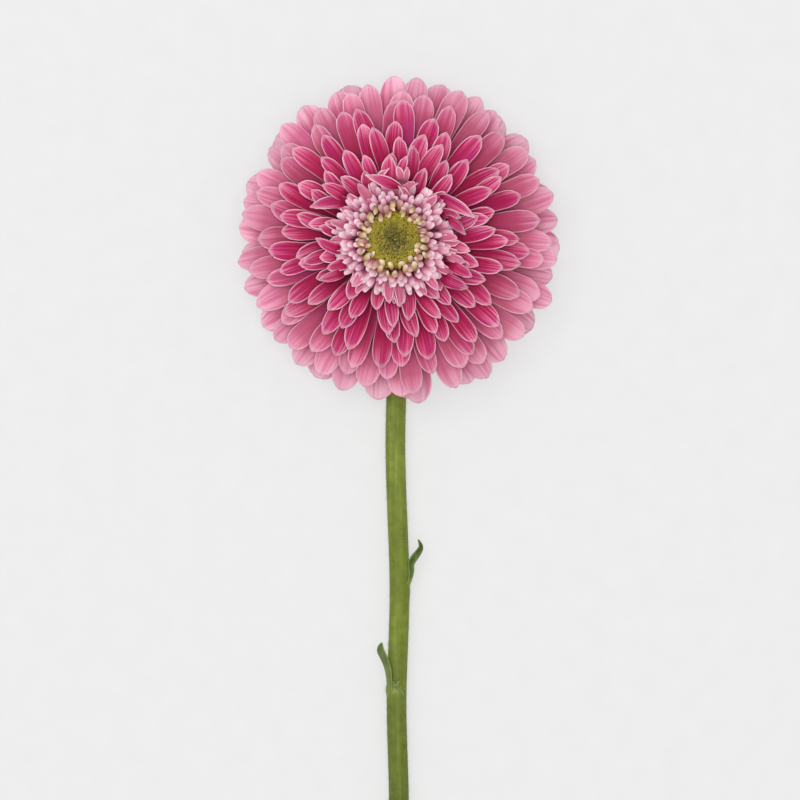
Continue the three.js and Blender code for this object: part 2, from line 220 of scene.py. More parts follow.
# %% [markdown]
# ## How a petal is laid out
#
# Every petal starts as one flat grid, a square with strips across and along. By hand one would
# scale its rows to the outline, bend it and twist it. There are hundreds of petals, each with its
# own curve, so the rows are moved by the same rules in code: first into a flat outline, then along
# a spine that grows out from the head's axis.

# %% The blank
BLANK_ACROSS = 14
BLANK_ALONG = 18


def grid_blank(across, along):
    bpy.ops.mesh.primitive_grid_add(x_subdivisions=across, y_subdivisions=along, size=2)
    return bpy.context.active_object


def points_of(obj):
    points = np.empty(len(obj.data.vertices) * 3)
    obj.data.vertices.foreach_get("co", points)
    return points.reshape(-1, 3)


petal_blank = grid_blank(BLANK_ACROSS, BLANK_ALONG)
print("petal blank:", len(petal_blank.data.vertices), "points")

# %% [markdown]
# The outline is a long oval: a narrow foot that widens slowly, and a tip that is round on old petals
# and pointed on young ones. The tip's rows bow outwards, so that none of them shrinks to a point and
# the margin stays an even line. A petal's tip also has small notches, where its teeth grew together.

# %% Outline
TIP_ROWS = 0.44  # the share of the blank's rows that make the tip
LONGEST_TIP = 0.64  # the largest share of a petal's length that its tip takes up
NOTCH_PLACE, NOTCH_WIDTH = 0.4, 0.12  # how far out and how wide, as shares of half the width


def outline(square, half_width, length, foot=0.3, tip_length=2.0, point=0.15, notch=0.0):
    """Side, share of the length, and distance in from the margin, for points of the -1 to 1 square.

    The foot is a share of the width, and the tip's length is in half widths. Point and notch tell how
    much of the tip they take off.
    """
    u = square[:, 0]
    t = 0.5 + 0.5 * square[:, 1]
    tip_share = min(LONGEST_TIP, tip_length * half_width / length)
    q = np.clip((t - 1 + TIP_ROWS) / TIP_ROWS, 0, 1)
    lower = np.clip(t / (1 - TIP_ROWS), 0, 1)
    half = half_width * (foot + (1 - foot) * smooth(-0.15, 1.05, lower))
    narrowing = np.sqrt(1 - 0.5 * q * q)
    side = u * half * narrowing
    reach = q * np.sqrt(1 - 0.5 * u * u) * (1 - point * (np.abs(side) / half_width) ** 1.2)
    reach -= notch * q**3 * np.exp(-(((np.abs(u) - NOTCH_PLACE) / NOTCH_WIDTH) ** 2))
    along = lower * (1 - tip_share) + tip_share * reach
    from_side = (1 - np.abs(u)) * half * narrowing
    from_tip = (1 - q) * tip_share * length * np.sqrt(1 - 0.5 * u * u)
    return side, along, np.where(q > 0, np.minimum(from_side, from_tip), from_side)


# %% [markdown]
# The spine is a curve from a root to a tip, drawn in the upright plane at the petal's compass
# direction. A petal can also swing sideways, roll, twist, and hook up or down at its tip.

# %% Spine
HOOK_START = 0.55  # the share of the length where a hook begins
NUDGE = 0.01  # a small share of the length, to find the spine's slope


def carry(side, along, height, stalk):
    """Carries flat points onto a stalk's curve: side and height are metres, along is a share."""
    root, knee, tip = (np.array(stalk[key]) for key in ("root", "knee", "tip"))

    def spine(t):
        t = t[:, None]
        curve = (1 - t) ** 2 * root + 2 * t * (1 - t) * knee + t * t * tip
        hooked = np.clip((t[:, 0] - HOOK_START) / (1 - HOOK_START), 0, None)
        curve[:, 1] += stalk.get("hook", 0) * hooked**2
        return curve

    centre = spine(along)
    slope = (spine(along + NUDGE) - spine(along - NUDGE)) / (2 * NUDGE)
    speed = np.linalg.norm(slope, axis=1)
    slope /= speed[:, None]
    swing = stalk.get("swing", 0)
    heading = np.arctan2(2 * swing * along, speed)
    roll = stalk.get("roll", 0) + stalk.get("twist", 0) * along
    across = side * np.cos(roll) - height * np.sin(roll)
    upwards = side * np.sin(roll) + height * np.cos(roll)
    sideways = across * np.cos(heading) + swing * along**2
    back = across * np.sin(heading)
    radius = centre[:, 0] - upwards * slope[:, 1] - back * slope[:, 0]
    z = centre[:, 1] + upwards * slope[:, 0] - back * slope[:, 1]
    east, north = math.cos(stalk["azimuth"]), math.sin(stalk["azimuth"])
    x = HEAD_X + radius * east - sideways * north
    y = HEAD_Y + radius * north + sideways * east
    return np.stack([x, y, z], axis=1)


# %% [markdown]
# Petals that hang to the table lie on it, and those above the stem lie over the stem. The stem's own
# line sways a little, as in the photograph; it is a smooth curve through a few points. The lowest
# points of the line are a guess, as the photograph doesn't show them.

# %% The stem's line and the ground
# In mm: how far below the head's axis in the picture, and how far right of it.
SWAY = [(0, 0), (40, 1.0), (69, 0.5), (122, 1.9), (159, 0.9), (192, 1.7), (250, 0.6), (345, -1.6)]
SWAY_DOWN = np.array([down * MM for down, right in SWAY])
SWAY_RIGHT = np.array([right * MM for down, right in SWAY])
# A petal that lies over the stem slopes down from it between these distances from the stem's middle.
SLOPE_START, SLOPE_END = 1.3 * SCAPE_RADIUS, 4 * SCAPE_RADIUS


def curve_through(knots, slopes, i, t, width=1.0):
    """A smooth curve from knot i to the next one: t goes from 0 to 1, and the knots are a width apart."""
    start = (2 * t**3 - 3 * t**2 + 1) * knots[i] + (t**3 - 2 * t**2 + t) * width * slopes[i]
    end = (3 * t**2 - 2 * t**3) * knots[i + 1] + (t**3 - t**2) * width * slopes[i + 1]
    return start + end


def sway(down):
    """How far right the stem's centre is, at distances below the head's axis."""
    down = np.clip(np.asarray(down, float), 0, SWAY_DOWN[-1])
    i = np.clip(np.searchsorted(SWAY_DOWN, down) - 1, 0, len(SWAY) - 2)
    width = SWAY_DOWN[i + 1] - SWAY_DOWN[i]
    slopes = np.gradient(SWAY_RIGHT, SWAY_DOWN)
    return curve_through(SWAY_RIGHT, slopes, i, (down - SWAY_DOWN[i]) / width, width)


def ground(x, y):
    """The height of what a petal lies on: the table, or the stem, with a soft slope between them."""
    off = np.abs(x - HEAD_X - sway(HEAD_Y - y))
    over_stem = (2 * SCAPE_RADIUS + 2 * GAP) * (1 - smooth(SLOPE_START, SLOPE_END, off))
    return np.where(y < HEAD_Y, over_stem, 0)


def settle(points, row_length, clearance):
    """Raises whole rows of a grid until none of their points is below the ground."""
    rows = points.reshape(-1, row_length, 3)
    short = ground(rows[..., 0], rows[..., 1]) + clearance - rows[..., 2]
    rows[..., 2] += np.clip(short.max(axis=1), 0, None)[:, None]
    return rows.reshape(-1, 3)


# %% [markdown]
# Copies of a blank get their own points and a few marks that the finish reads: how far each point is
# from the margin, which whorl the petal belongs to, and a number by chance for the whole petal.

# %% Copies of a blank
def marked(mesh, name, value):
    values = np.broadcast_to(np.asarray(value, np.float32), len(mesh.vertices))
    mesh.attributes.new(name, "FLOAT", "POINT").data.foreach_set("value", np.ascontiguousarray(values))


def copy_of(blank, points, **marks):
    mesh = blank.data.copy()
    mesh.vertices.foreach_set("co", points.astype(np.float32).ravel())
    for name, value in marks.items():
        marked(mesh, name, value)
    copy = bpy.data.objects.new("copy", mesh)
    bpy.context.scene.collection.objects.link(copy)
    return copy


def select_only(objects):
    bpy.ops.object.select_all(action="DESELECT")
    for obj in objects:
        obj.select_set(True)
    bpy.context.view_layer.objects.active = objects[0]


def joined(name, objects):
    select_only(objects)
    if len(objects) > 1:
        bpy.ops.object.join()
    piece = bpy.context.active_object
    piece.name = name
    piece.data.name = name
    bpy.ops.object.shade_smooth()
    bpy.ops.object.select_all(action="DESELECT")
    return piece


def thicken(piece, thickness):
    """Gives sheets their thickness, half to each side."""
    select_only([piece])
    solidify = piece.modifiers.new("thickness", "SOLIDIFY")
    solidify.thickness = thickness
    solidify.offset = 0
    bpy.ops.object.modifier_apply(modifier=solidify.name)
    bpy.ops.object.select_all(action="DESELECT")


def seat(piece, material, slot, *nodes):
    """The piece wears a finish, stands for nodes, and goes with the flower; its slot is not used."""
    piece.data.materials.clear()
    piece.data.materials.append(material)
    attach(piece, "root")
    if nodes:
        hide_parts(*nodes)
    print(f"{piece.name}: {sum(len(p.vertices) - 2 for p in piece.data.polygons)} triangles")


# %% [markdown]
# Real petals never pass through each other: each rests on the older ones below it. A physics run would
# find how they lie, but slowly; a height map does it at once. The map holds the top of all that has
# been laid so far, and the next petal is raised, row by row, where it would dip below the map. Only
# its outer part is raised, because all petals crowd together at their feet, where nobody sees them.

# %% Laying a petal on those below
RAY_THICKNESS = 0.34 * MM
MAP_CELL = 0.6 * MM
MAP_REACH = 62 * MM
HIGHEST_LIFT = 3 * MM
LIFTED_FROM, LIFTED_FULLY = 0.3, 0.55  # shares of the length
ROWS_BESIDE = 2  # a raised row takes so many rows on either side along
FINE_ALONG, FINE_ACROSS = 4, 3  # each strip of a grid is split so often, to leave no hole in the map
map_side = int(2 * MAP_REACH / MAP_CELL)
laid = np.zeros((map_side, map_side))


def between(grid, axis, steps):
    """A grid with further points set evenly between its own."""
    count = grid.shape[axis]
    first, following = grid.take(range(count - 1), axis), grid.take(range(1, count), axis)
    parts = [first + (following - first) * k / steps for k in range(steps)]
    return np.concatenate([*parts, grid.take([count - 1], axis)], axis)


def lay_on_others(points, row_length):
    """Raises rows of a grid to lie on the map, and then adds the grid to the map."""
    rows = points.reshape(-1, row_length, 3)
    row_count = len(rows)
    number = np.broadcast_to(np.arange(row_count)[:, None, None], (row_count, row_length, 1))
    fine = between(np.concatenate([rows, number], axis=2), 0, FINE_ALONG)
    fine = between(fine, 1, FINE_ACROSS).reshape(-1, 4)
    cell = ((fine[:, :2] - (HEAD_X, HEAD_Y) + MAP_REACH) / MAP_CELL).astype(int).clip(0, map_side - 1)
    row = fine[:, 3].round().astype(int)
    lift = np.zeros(row_count)
    np.maximum.at(lift, row, laid[cell[:, 0], cell[:, 1]] + RAY_THICKNESS - fine[:, 2])
    along = np.arange(row_count) / (row_count - 1)
    lift = np.minimum(lift, HIGHEST_LIFT) * smooth(LIFTED_FROM, LIFTED_FULLY, along)
    window = 2 * ROWS_BESIDE + 1
    spread = np.pad(lift, ROWS_BESIDE, mode="edge")
    spread = np.maximum.reduce([spread[k : k + row_count] for k in range(window)])
    lift = np.convolve(np.pad(spread, ROWS_BESIDE, mode="edge"), np.ones(window) / window, mode="valid")
    rows[..., 2] += lift[:, None]
    np.maximum.at(laid, (cell[:, 0], cell[:, 1]), fine[:, 2] + lift[row])
    return rows.reshape(-1, 3)


# %% [markdown]
# ## Ray florets
#
# The large petals are ray florets, each a flower of its own with one strap. In this double kind nearly
# 200 of them stand in one tight spiral, each turned from the last by the golden angle, 137.5 degrees.
# The first and lowest are the widest, and they droop. Further in they are narrow, short and raised.

# %% One ray floret
RAY_COUNT = 186
RAY_TIP_INNER = 21.5 * MM
RAY_TIP_HANG = 3.5 * MM
RAY_WIDTH_OUTER = 12.8 * MM
RAY_WIDTH_INNER = 4.1 * MM
HEAD_LEAN = 1.7 * MM  # the petals reach this much further towards one side than on average
LEAN_TOWARDS = math.radians(15)
RIM_SHARE = 0.15  # this share of the petals reaches the head's full radius
RESTING_RAYS = 8  # the lowest petals, whose tips touch the table


def ray_stalk(n):
    """The curve of a ray petal: s is 0 for the lowest and oldest, and 1 for the youngest."""
    s = n / (RAY_COUNT - 1)
    young = smooth(0.55, 1, s)
    azimuth = n * GOLDEN_ANGLE + mix(0.035, 0.1, s) * draw(n, 1)
    reached = mix(HEAD_RADIUS, RAY_TIP_INNER, max(0, (s - RIM_SHARE) / (1 - RIM_SHARE)) ** 1.35)
    tip_radius = reached * (1 + mix(0.014, 0.08, s) * draw(n, 2))
    tip_radius += HEAD_LEAN * math.cos(azimuth - LEAN_TOWARDS)
    hanging = mix(RAY_TIP_HANG, PAD_TOP + 1.4 * MM, s**0.7) + 0.7 * MM * draw(n, 3) * (1 - s)
    east, north = math.cos(azimuth), math.sin(azimuth)
    below = float(ground(HEAD_X + tip_radius * east, HEAD_Y + tip_radius * north)) + RAY_THICKNESS
    tip_height = below if n < RESTING_RAYS else max(below, hanging)
    root_radius = mix(RECEPTACLE_RADIUS, RECEPTACLE_TOP_RADIUS, s) - 1.6 * MM
    root_height = mix(PAD_BASE + 1.4 * MM, PAD_TOP - 1.5 * MM, s)
    rise = math.radians(mix(-4, 26, s))
    reach = 0.5 * (tip_radius - root_radius)
    return {
        "azimuth": azimuth,
        "root": (root_radius, root_height),
        "knee": (root_radius + reach, root_height + reach * math.tan(rise)),
        "tip": (tip_radius, tip_height),
        "swing": mix(2.0, 4.2, smooth(0, 0.6, s)) * MM * draw(n, 5),
        "roll": mix(0.06, 0.3, young) * draw(n, 6),
        "twist": mix(0.08, 0.45, young) * draw(n, 21),
        "hook": 0 if n < RESTING_RAYS else (0.5 + 0.4 * draw(n, 22)) * MM,
    }


def petal(n, stalk, s, half_width):
    """A ray petal on its stalk: cupped along its middle, with two furrows and a slight wave."""
    length = math.dist(stalk["root"], stalk["tip"])
    square = points_of(petal_blank)
    tip_length = mix(1.2, 2.7, s**0.7) * (1 + 0.15 * draw(n, 23))
    point = mix(0.0, 0.12, s**0.6)
    notch = mix(0.03, 0.02, s) + 0.02 * draw(n, 38)
    side, along, rim = outline(
        square, half_width, length, tip_length=tip_length, point=point, notch=notch
    )
    share = np.abs(side) / half_width
    cup = mix(0.06, 0.34, s * s) * (1 + 0.5 * draw(n, 24)) * smooth(0.35, 0.85, along)
    furrow_depth = (0.24 + 0.12 * draw(n, 25)) * MM
    furrows = furrow_depth * np.exp(-(((share - 0.34) / 0.14) ** 2)) * smooth(0.1, 0.4, along)
    height = half_width * cup * share**2 - furrows * (1 - smooth(0.85, 1, along))
    height += 0.2 * MM * smooth(0.85, 1, np.abs(square[:, 0])) * smooth(0.4, 0.8, along)
    wave = np.sin(2 * math.pi * (1.1 * along + draw(n, 27)))
    height += (0.16 + 0.16 * draw(n, 26)) * MM * wave * side / half_width
    points = settle(carry(side, along, height, stalk), BLANK_ACROSS + 1, 0.5 * RAY_THICKNESS)
    points = lay_on_others(points, BLANK_ACROSS + 1)
    return copy_of(petal_blank, points, rim=rim / MM, whorl=s, chance=0.5 + 0.5 * draw(n, 28))


def ray_floret(n):
    s = n / (RAY_COUNT - 1)
    width = mix(RAY_WIDTH_OUTER, RAY_WIDTH_INNER, s**0.5)
    return petal(n, ray_stalk(n), s, width / 2 * (1 + mix(0.06, 0.2, s) * draw(n, 4)))


# %% [markdown]
# ### Colours laid over each other
#
# Most of the flower's finishes are built alike: a colour, other colours laid over it, each as strong as
# the pattern that it follows, and at last the brightness. So one function lays them all from a list.
# A ramp says how strong: what it reads, two values of it, and the strengths at these.

# %% Laying colours
def strength(tree, ramps):
    """How strong something is: the product of ramps."""
    product = 1.0
    for value, low, high, start, end in ramps:
        step = add(tree, "ShaderNodeMapRange", {0: value, 1: low, 2: high, 3: start, 4: end})
        product = add(tree, "ShaderNodeMath", {0: product, 1: step[0]}, operation="MULTIPLY")[0]
    return product


def lay_colours(tree, shader, colour, layers, brightness):
    """Lays colours over a colour in their order, each with its ramps, and then brightens all by ramps."""
    for code, ramps in layers:
        inputs = {0: strength(tree, ramps), 6: colour, 7: hue(code)}
        colour = add(tree, "ShaderNodeMix", inputs, data_type="RGBA")[2]
    inputs = {"Color": colour, "Value": strength(tree, brightness)}
    tree.links.new(add(tree, "ShaderNodeHueSaturation", inputs)[0], shader["Base Color"])


# %% [markdown]
# ### The petal's finish
#
# A fresh petal's skin is made of tiny cones, which scatter light: it looks velvety and has no gloss,
# and light goes into it. Pigment is deepest at the foot and thins out to the tip, along fine veins;
# the darkest crimson at the foot is also painted shade, where the petals crowd together. The margin
# has next to none, so each petal is edged with a pale line a quarter of a millimetre wide, which is
# also a painted highlight where the raised edge catches light, and so is a pale patch at the tip.
# The oldest petals have faded, and painted light lifts the shade on their drooping tips, but their
# veins and patches of them have kept their colour.
#
# The patterns lie in the petal's own square, its UV map, so they follow every curl. The veins are
# drawn coarser than real ones, which are too fine to show.

# %% Petal finish
VEINS = (11.0, 0.6, 31.0)  # how many across, how many along, and how far apart two petals' patterns are
CLOUDS = (1.6, 1.1, 57.0)
GRAIN = (70.0, 9.0, 31.0)
GRAIN_SHARE = 0.3  # of the relief; the rest is the veins'


def petal_finish(name, along_stops, fade_and_painted_light, bloom, dark, light, violet, margin_and_highlight, margin_width):
    material, tree, shader = finish(
        name, Roughness=0.6, Specular_IOR_Level=0.12, Subsurface_Weight=0.1, Subsurface_Scale=0.8 * MM
    )
    shader["Subsurface Radius"].default_value = (1.0, 0.3, 0.5)
    uv = add(tree, "ShaderNodeUVMap", uv_map="UVMap")
    axes = add(tree, "ShaderNodeSeparateXYZ", {0: uv[0]})
    length = axes["Y"]
    marks = ("chance", "whorl", "rim")
    chance, whorl, rim = (add(tree, "ShaderNodeAttribute", attribute_name=mark)["Fac"] for mark in marks)
    place = add(tree, "ShaderNodeCombineXYZ", {0: axes["X"], 1: length, 2: chance})[0]
    patterns = []
    for scale, detail in ((VEINS, 4.0), (CLOUDS, 2.0), (GRAIN, 2.0)):
        drawn_out = add(tree, "ShaderNodeVectorMath", {0: place, 1: scale}, operation="MULTIPLY")
        inputs = {"Vector": drawn_out[0], "Scale": 1.0, "Detail": detail}
        patterns.append(add(tree, "ShaderNodeTexNoise", inputs)[0])
    veins, clouds, grain = patterns
    old = (whorl, 0.0, 0.5, 1.0, 0.0)
    layers = [
        (violet, [(clouds, 0.52, 0.8, 0.0, 0.5)]),
        (dark, [(veins, 0.5, 0.34, 0.0, 0.4)]),
        # Old petals are paler towards the tip, faded and lit by painted light over the shade of their
        # drooping tips, and their veins and patches are not.
        (fade_and_painted_light, [old, (length, 0.37, 0.86, 0.1, 1.0)]),
        (bloom, [old, (veins, 0.54, 0.36, 0.0, 0.7)]),
        (bloom, [old, (clouds, 0.45, 0.68, 0.0, 0.6)]),
        # Pale streaks run in from the tip between the veins, and the tip itself is pale with a painted
        # highlight in the margin's colour.
        (light, [(veins, 0.46, 0.62, 0.0, 1.0), (length, 0.48, 0.93, 0.0, 0.62)]),
        (margin_and_highlight, [(length, 0.89, 1.0, 0.0, 0.5)]),
        # The smallest petals, beside the collar, are nearly as pale as its florets.
        (light, [(whorl, 1.0, 1.3, 0.0, 0.45)]),
        # The pale line along the margin is partly its own paleness and partly a painted highlight on the
        # raised edge.
        (
            margin_and_highlight,
            [
                (rim, 0.3 * margin_width, margin_width, 0.84, 0.0),
                (whorl, 0.0, 0.3, 0.75, 1.0),
                (length, 0.3, 0.92, 0.3, 1.0),
            ],
        ),
    ]
    colour = add(tree, "ShaderNodeValToRGB", {0: length}, stops=along_stops)[0]
    lay_colours(tree, shader, colour, layers, [(chance, 0.0, 1.0, 0.88, 1.08)])
    relief = add(tree, "ShaderNodeMix", {0: GRAIN_SHARE, 2: veins, 3: grain}, data_type="FLOAT")
    bump = add(tree, "ShaderNodeBump", {"Strength": 0.55, "Distance": 0.2 * MM, "Height": relief[0]})
    tree.links.new(bump[0], shader["Normal"])
    return material


ray_petal = petal_finish(
    "velvety_ray_petal",
    # From foot to tip; the darkest crimson at the foot is partly pigment and partly painted shade between
    # crowded petals.
    [(0.0, "#52081f"), (1.0, "#d65c8c"), (0.38, "#980f40"), (0.62, "#ba2159"), (0.82, "#c93670")],
    # The old petals' pale tips: faded, and partly painted light over the shade of their drooping tips.
    fade_and_painted_light="#ffd3e3",
    bloom="#cd4c81",
    dark="#7a0a3c",
    light="#eda6bf",
    violet="#b02a80",
    # The margin's colour, which also paints the highlights on edges and tips.
    margin_and_highlight="#f9cbd8",
    margin_width=0.27,  # in mm, as the mark "rim" is
)

# %% [markdown]
# The spiral is laid from the lowest petal up, in three whorls that become three pieces.

# %% The spiral of ray florets, in three whorls
THIRD = RAY_COUNT // 3
for i, name in enumerate(("outer_ray_florets", "middle_ray_florets", "inner_ray_florets")):
    whorl = joined(name, [ray_floret(n) for n in range(i * THIRD, (i + 1) * THIRD)])
    thicken(whorl, RAY_THICKNESS)
    seat(whorl, ray_petal, "ray_floret", "ray_florets")

# %% [markdown]
# Between the collar and the long petals stand some of middle size, which are petals already but as
# short and nearly as pale as the collar.

# %% Petals of middle size
MIDDLING_COUNT = 24
MIDDLING_REACH = 21.8 * MM
MIDDLING_DRAWS = 300  # their draws start here, past those of all ray petals
MIDDLING_AGE = 1.2  # beyond the youngest ray petal's 1: paler still


def middling_petal(i):
    n = MIDDLING_DRAWS + i
    tip_radius = MIDDLING_REACH + 1.3 * MM * draw(n, 2)
    stalk = {
        "azimuth": i * GOLDEN_ANGLE + 0.15 * draw(n, 1),
        "root": (13.2 * MM, EYE_BASE + 0.4 * MM),
        "knee": (17.4 * MM, EYE_BASE + 2.6 * MM),
        "tip": (tip_radius, EYE_BASE + (1.9 + 0.6 * draw(n, 3)) * MM),
        "swing": 1.2 * MM * draw(n, 5),
        "roll": 0.4 * draw(n, 6),
        "twist": 0.5 * draw(n, 21),
    }
    return petal(n, stalk, MIDDLING_AGE, (1.5 + 0.3 * draw(n, 4)) * MM)


middling = joined("middling_ray_florets", [middling_petal(i) for i in range(MIDDLING_COUNT)])
thicken(middling, RAY_THICKNESS)
seat(middling, ray_petal, "ray_floret", "short_florets")

# %% [markdown]
# A few of the youngest petals have grown askew: they curl sideways over the others beside the eye. They
# are the same petals on stalks of their own, each placed near one that the photograph shows.

# %% Stray petals
# In mm: root x and y and tip x and y from the head's axis, the tip's height over the pad, and the width.
STRAY_PETALS = [
    (-1.4, 17.5, -1.5, 28.9, 2.4, 5.8),
    (1.2, 18.0, 4.4, 28.4, 2.6, 3.2),
    (-6.0, 19.4, -1.4, 24.3, 2.0, 2.2),
    (2.8, 18.4, 1.0, 25.0, 2.8, 2.6),
    (3.6, 17.6, 4.6, 24.6, 2.6, 1.9),
    (2.4, 16.6, -9.9, 22.0, 3.0, 4.6),
    (3.4, 16.8, 8.4, 19.2, 2.6, 2.8),
    (5.0, 14.2, 1.4, 18.2, 3.2, 2.2),
    (15.6, 13.8, 27.6, 7.4, 3.0, 4.8),
    (15.6, 8.9, 22.8, 7.3, 3.4, 3.3),
    (17.6, 7.0, 24.4, 1.6, 2.2, 3.8),
    (17.6, -5.4, 24.2, -7.8, 3.0, 3.0),
    (17.4, -7.8, 26.6, -12.6, 2.6, 4.0),
    (15.2, -11.8, 25.2, -16.4, 2.4, 4.8),
    (-14.6, 11.8, -28.6, 11.0, 2.8, 4.6),
    (-15.4, 13.8, -24.4, 18.6, 2.6, 4.8),
    (-16.4, -3.4, -26.6, 0.6, 2.8, 4.0),
    (-14.8, -7.4, -22.8, -9.8, 3.0, 4.0),
    (-15.2, -10.0, -25.4, -13.5, 2.6, 3.6),
]
NARROW = 3  # mm; strays up to this width are as pale as the petals of middle size
WIDE_AGE, NARROW_AGE = 0.95, 1.25


def stray_petal(i, root_x, root_y, tip_x, tip_y, height, width):
    n = RAY_COUNT + i
    azimuth = math.atan2(root_y, root_x)
    east, north = math.cos(azimuth), math.sin(azimuth)
    root_radius = math.hypot(root_x, root_y)
    tip_radius = tip_x * east + tip_y * north
    stalk = {
        "azimuth": azimuth,
        "root": (root_radius * MM, PAD_TOP + 0.4 * MM),
        "knee": (mix(root_radius, tip_radius, 0.4) * MM, PAD_TOP + (height + 2.4) * MM),
        "tip": (tip_radius * MM, PAD_TOP + height * MM),
        "swing": (tip_y * east - tip_x * north) * MM,
        "twist": 0.3 * draw(n, 21),
    }
    return petal(n, stalk, WIDE_AGE if width > NARROW else NARROW_AGE, 0.5 * width * MM)


stray = joined("stray_ray_florets", [stray_petal(i, *row) for i, row in enumerate(STRAY_PETALS)])
thicken(stray, RAY_THICKNESS)
seat(stray, ray_petal, "ray_floret", "ray_florets")

# %% [markdown]
# ## Short florets round the eye
#
# Inside the ray florets stands a collar of short pale ones with blunt, swollen ends. The outer ones
# still look like small petals; further in they are stubby fingers that point up and outwards.

# %% The blank of a stubby floret
STUB_SIDES = 10
STUB_RINGS = 8
STUB_FOOT, STUB_SWELL = 0.5, 1.1  # how thick the foot and the end are, as shares of the given width
bpy.ops.mesh.primitive_uv_sphere_add(segments=STUB_SIDES, ring_count=STUB_RINGS, radius=1)
stub_blank = bpy.context.active_object


def stub(n, stalk, half_width, flatness=0.75, **marks):
    """A blunt floret: a sphere drawn out along a stalk, thin at the foot and swollen at the end."""
    ball = points_of(stub_blank)
    blunt = np.sign(ball[:, 2]) * np.abs(ball[:, 2]) ** 0.9
    along = 0.5 + 0.5 * blunt
    round_off = np.clip(1 - ball[:, 2] ** 2, 1e-6, 1) ** -0.08
    girth = mix(STUB_FOOT, STUB_SWELL, smooth(0, 0.7, along)) * round_off
    side = half_width * ball[:, 0] * girth
    height = flatness * half_width * ball[:, 1] * girth
    crease = np.exp(-((side / (0.3 * half_width)) ** 2)) * smooth(0.2, 0.6, along)
    height -= 0.2 * half_width * crease * (ball[:, 1] > 0)
    along = along - 0.02 * crease * smooth(0.8, 1, along)
    points = carry(side, along, height, stalk)
    return copy_of(stub_blank, points, tip=along, chance=0.5 + 0.5 * draw(n, 30), **marks)


# %% [markdown]
# They stand in the golden spiral again, evenly over a ring. A floret's stalk is worked out backwards,
# from its tip, because the tips are what the photograph shows.

# %% Where they stand
SMALL_COUNT = 188
SMALL_OUTER = 21.6 * MM
SMALL_INNER = 12.2 * MM


def stub_stalk(azimuth, tip_radius, tip_height, length, rise, n):
    lean = math.radians(rise)
    root = (tip_radius - length * math.cos(lean), tip_height - length * math.sin(lean))
    knee = (root[0] + 0.35 * length * math.cos(lean), root[1] + 0.62 * length * math.sin(lean))
    return {
        "azimuth": azimuth,
        "root": root,
        "knee": knee,
        "tip": (tip_radius, tip_height),
        "swing": 0.7 * MM * draw(n, 31),
        "roll": 0.6 * draw(n, 32),
    }


def small_floret(n):
    s = n / (SMALL_COUNT - 1)
    azimuth = n * GOLDEN_ANGLE + 0.1 * draw(n, 8)
    tip_radius = math.sqrt(mix(SMALL_OUTER**2, SMALL_INNER**2, s)) + 0.8 * MM * draw(n, 7)
    tip_height = EYE_BASE + mix(2.0, 4.8, s) * MM + 0.5 * MM * draw(n, 9)
    rise = mix(4, 46, s) + 9 * draw(n, 57)
    stalk = stub_stalk(azimuth, tip_radius, tip_height, mix(8.6, 4.5, s) * MM, rise, n)
    half_width = mix(1.45, 1.16, s) * MM * (1 + 0.2 * draw(n, 33))
    return stub(n, stalk, half_width, flatness=mix(0.5, 0.75, s), whorl=s)


# %% [markdown]
# These florets are thick and full of sap, so more light goes into them than into a petal. They are dark
# at the foot, which is painted shade where they crowd together, and nearly white at the tip, partly
# their own colour and partly a painted highlight; and they are spotted. Those of the collar are
# brownish where youngest.

# %% Pale petal finish
SPOTS = 0.42 / MM  # so many to a millimetre
SKIN_GRAIN = 2.6 / MM


def stub_finish(name, foot, body, tip, spot, inner=None):
    material, tree, shader = finish(
        name, Roughness=0.5, Specular_IOR_Level=0.3, Subsurface_Weight=0.15, Subsurface_Scale=0.8 * MM
    )
    shader["Subsurface Radius"].default_value = (1.0, 0.5, 0.6)
    along = add(tree, "ShaderNodeAttribute", attribute_name="tip")["Fac"]
    chance = add(tree, "ShaderNodeAttribute", attribute_name="chance")["Fac"]
    where = add(tree, "ShaderNodeTexCoord")["Object"]
    spots = add(tree, "ShaderNodeTexNoise", {"Vector": where, "Scale": SPOTS, "Detail": 3.0})
    layers = [(spot, [(spots[0], 0.5, 0.72, 0.0, 0.6)])]
    if inner:
        whorl = add(tree, "ShaderNodeAttribute", attribute_name="whorl")["Fac"]
        layers.append((inner, [(whorl, 0.76, 1.0, 0.0, 0.75)]))
    # The dark foot is painted shade where the florets crowd; the near-white tip is partly their own colour
    # and partly a painted highlight.
    stops = [(0.2, foot), (0.92, tip), (0.62, body)]
    colour = add(tree, "ShaderNodeValToRGB", {0: along}, stops=stops)[0]
    lay_colours(tree, shader, colour, layers, [(chance, 0.0, 1.0, 0.86, 1.08)])
    grain = add(tree, "ShaderNodeTexNoise", {"Vector": where, "Scale": SKIN_GRAIN, "Detail": 2.0})
    bump = add(tree, "ShaderNodeBump", {"Strength": 0.35, "Distance": 0.1 * MM, "Height": grain[0]})
    tree.links.new(bump[0], shader["Normal"])
    return material


# Each foot colour is painted shade, and each tip colour is partly a painted highlight.
pale_petal = stub_finish(
    "pale_petal", foot="#6c1834", body="#c26686", tip="#fbd8e2", spot="#c076a0", inner="#aa7c62"
)
cream_petal = stub_finish("cream_petal", foot="#3e280c", body="#d8b07c", tip="#fff8e8", spot="#ac8056")

# %% The collar
collar = joined("short_florets_collar", [small_floret(n) for n in range(SMALL_COUNT)])
seat(collar, pale_petal, "short_floret", "short_florets")

# %% [markdown]
# ## Open disc florets
#
# The outermost flowers of the disc have opened. Their cream lips curl inwards over the green eye.

# %% Cream lips
CREAM_COUNT = 50
CREAM_ROWS = ((9.9, 3.9), (8.2, 2.5))  # in mm: how far out the tips of a row are, and how high
CREAM_HALF_WIDTH = 0.82 * MM


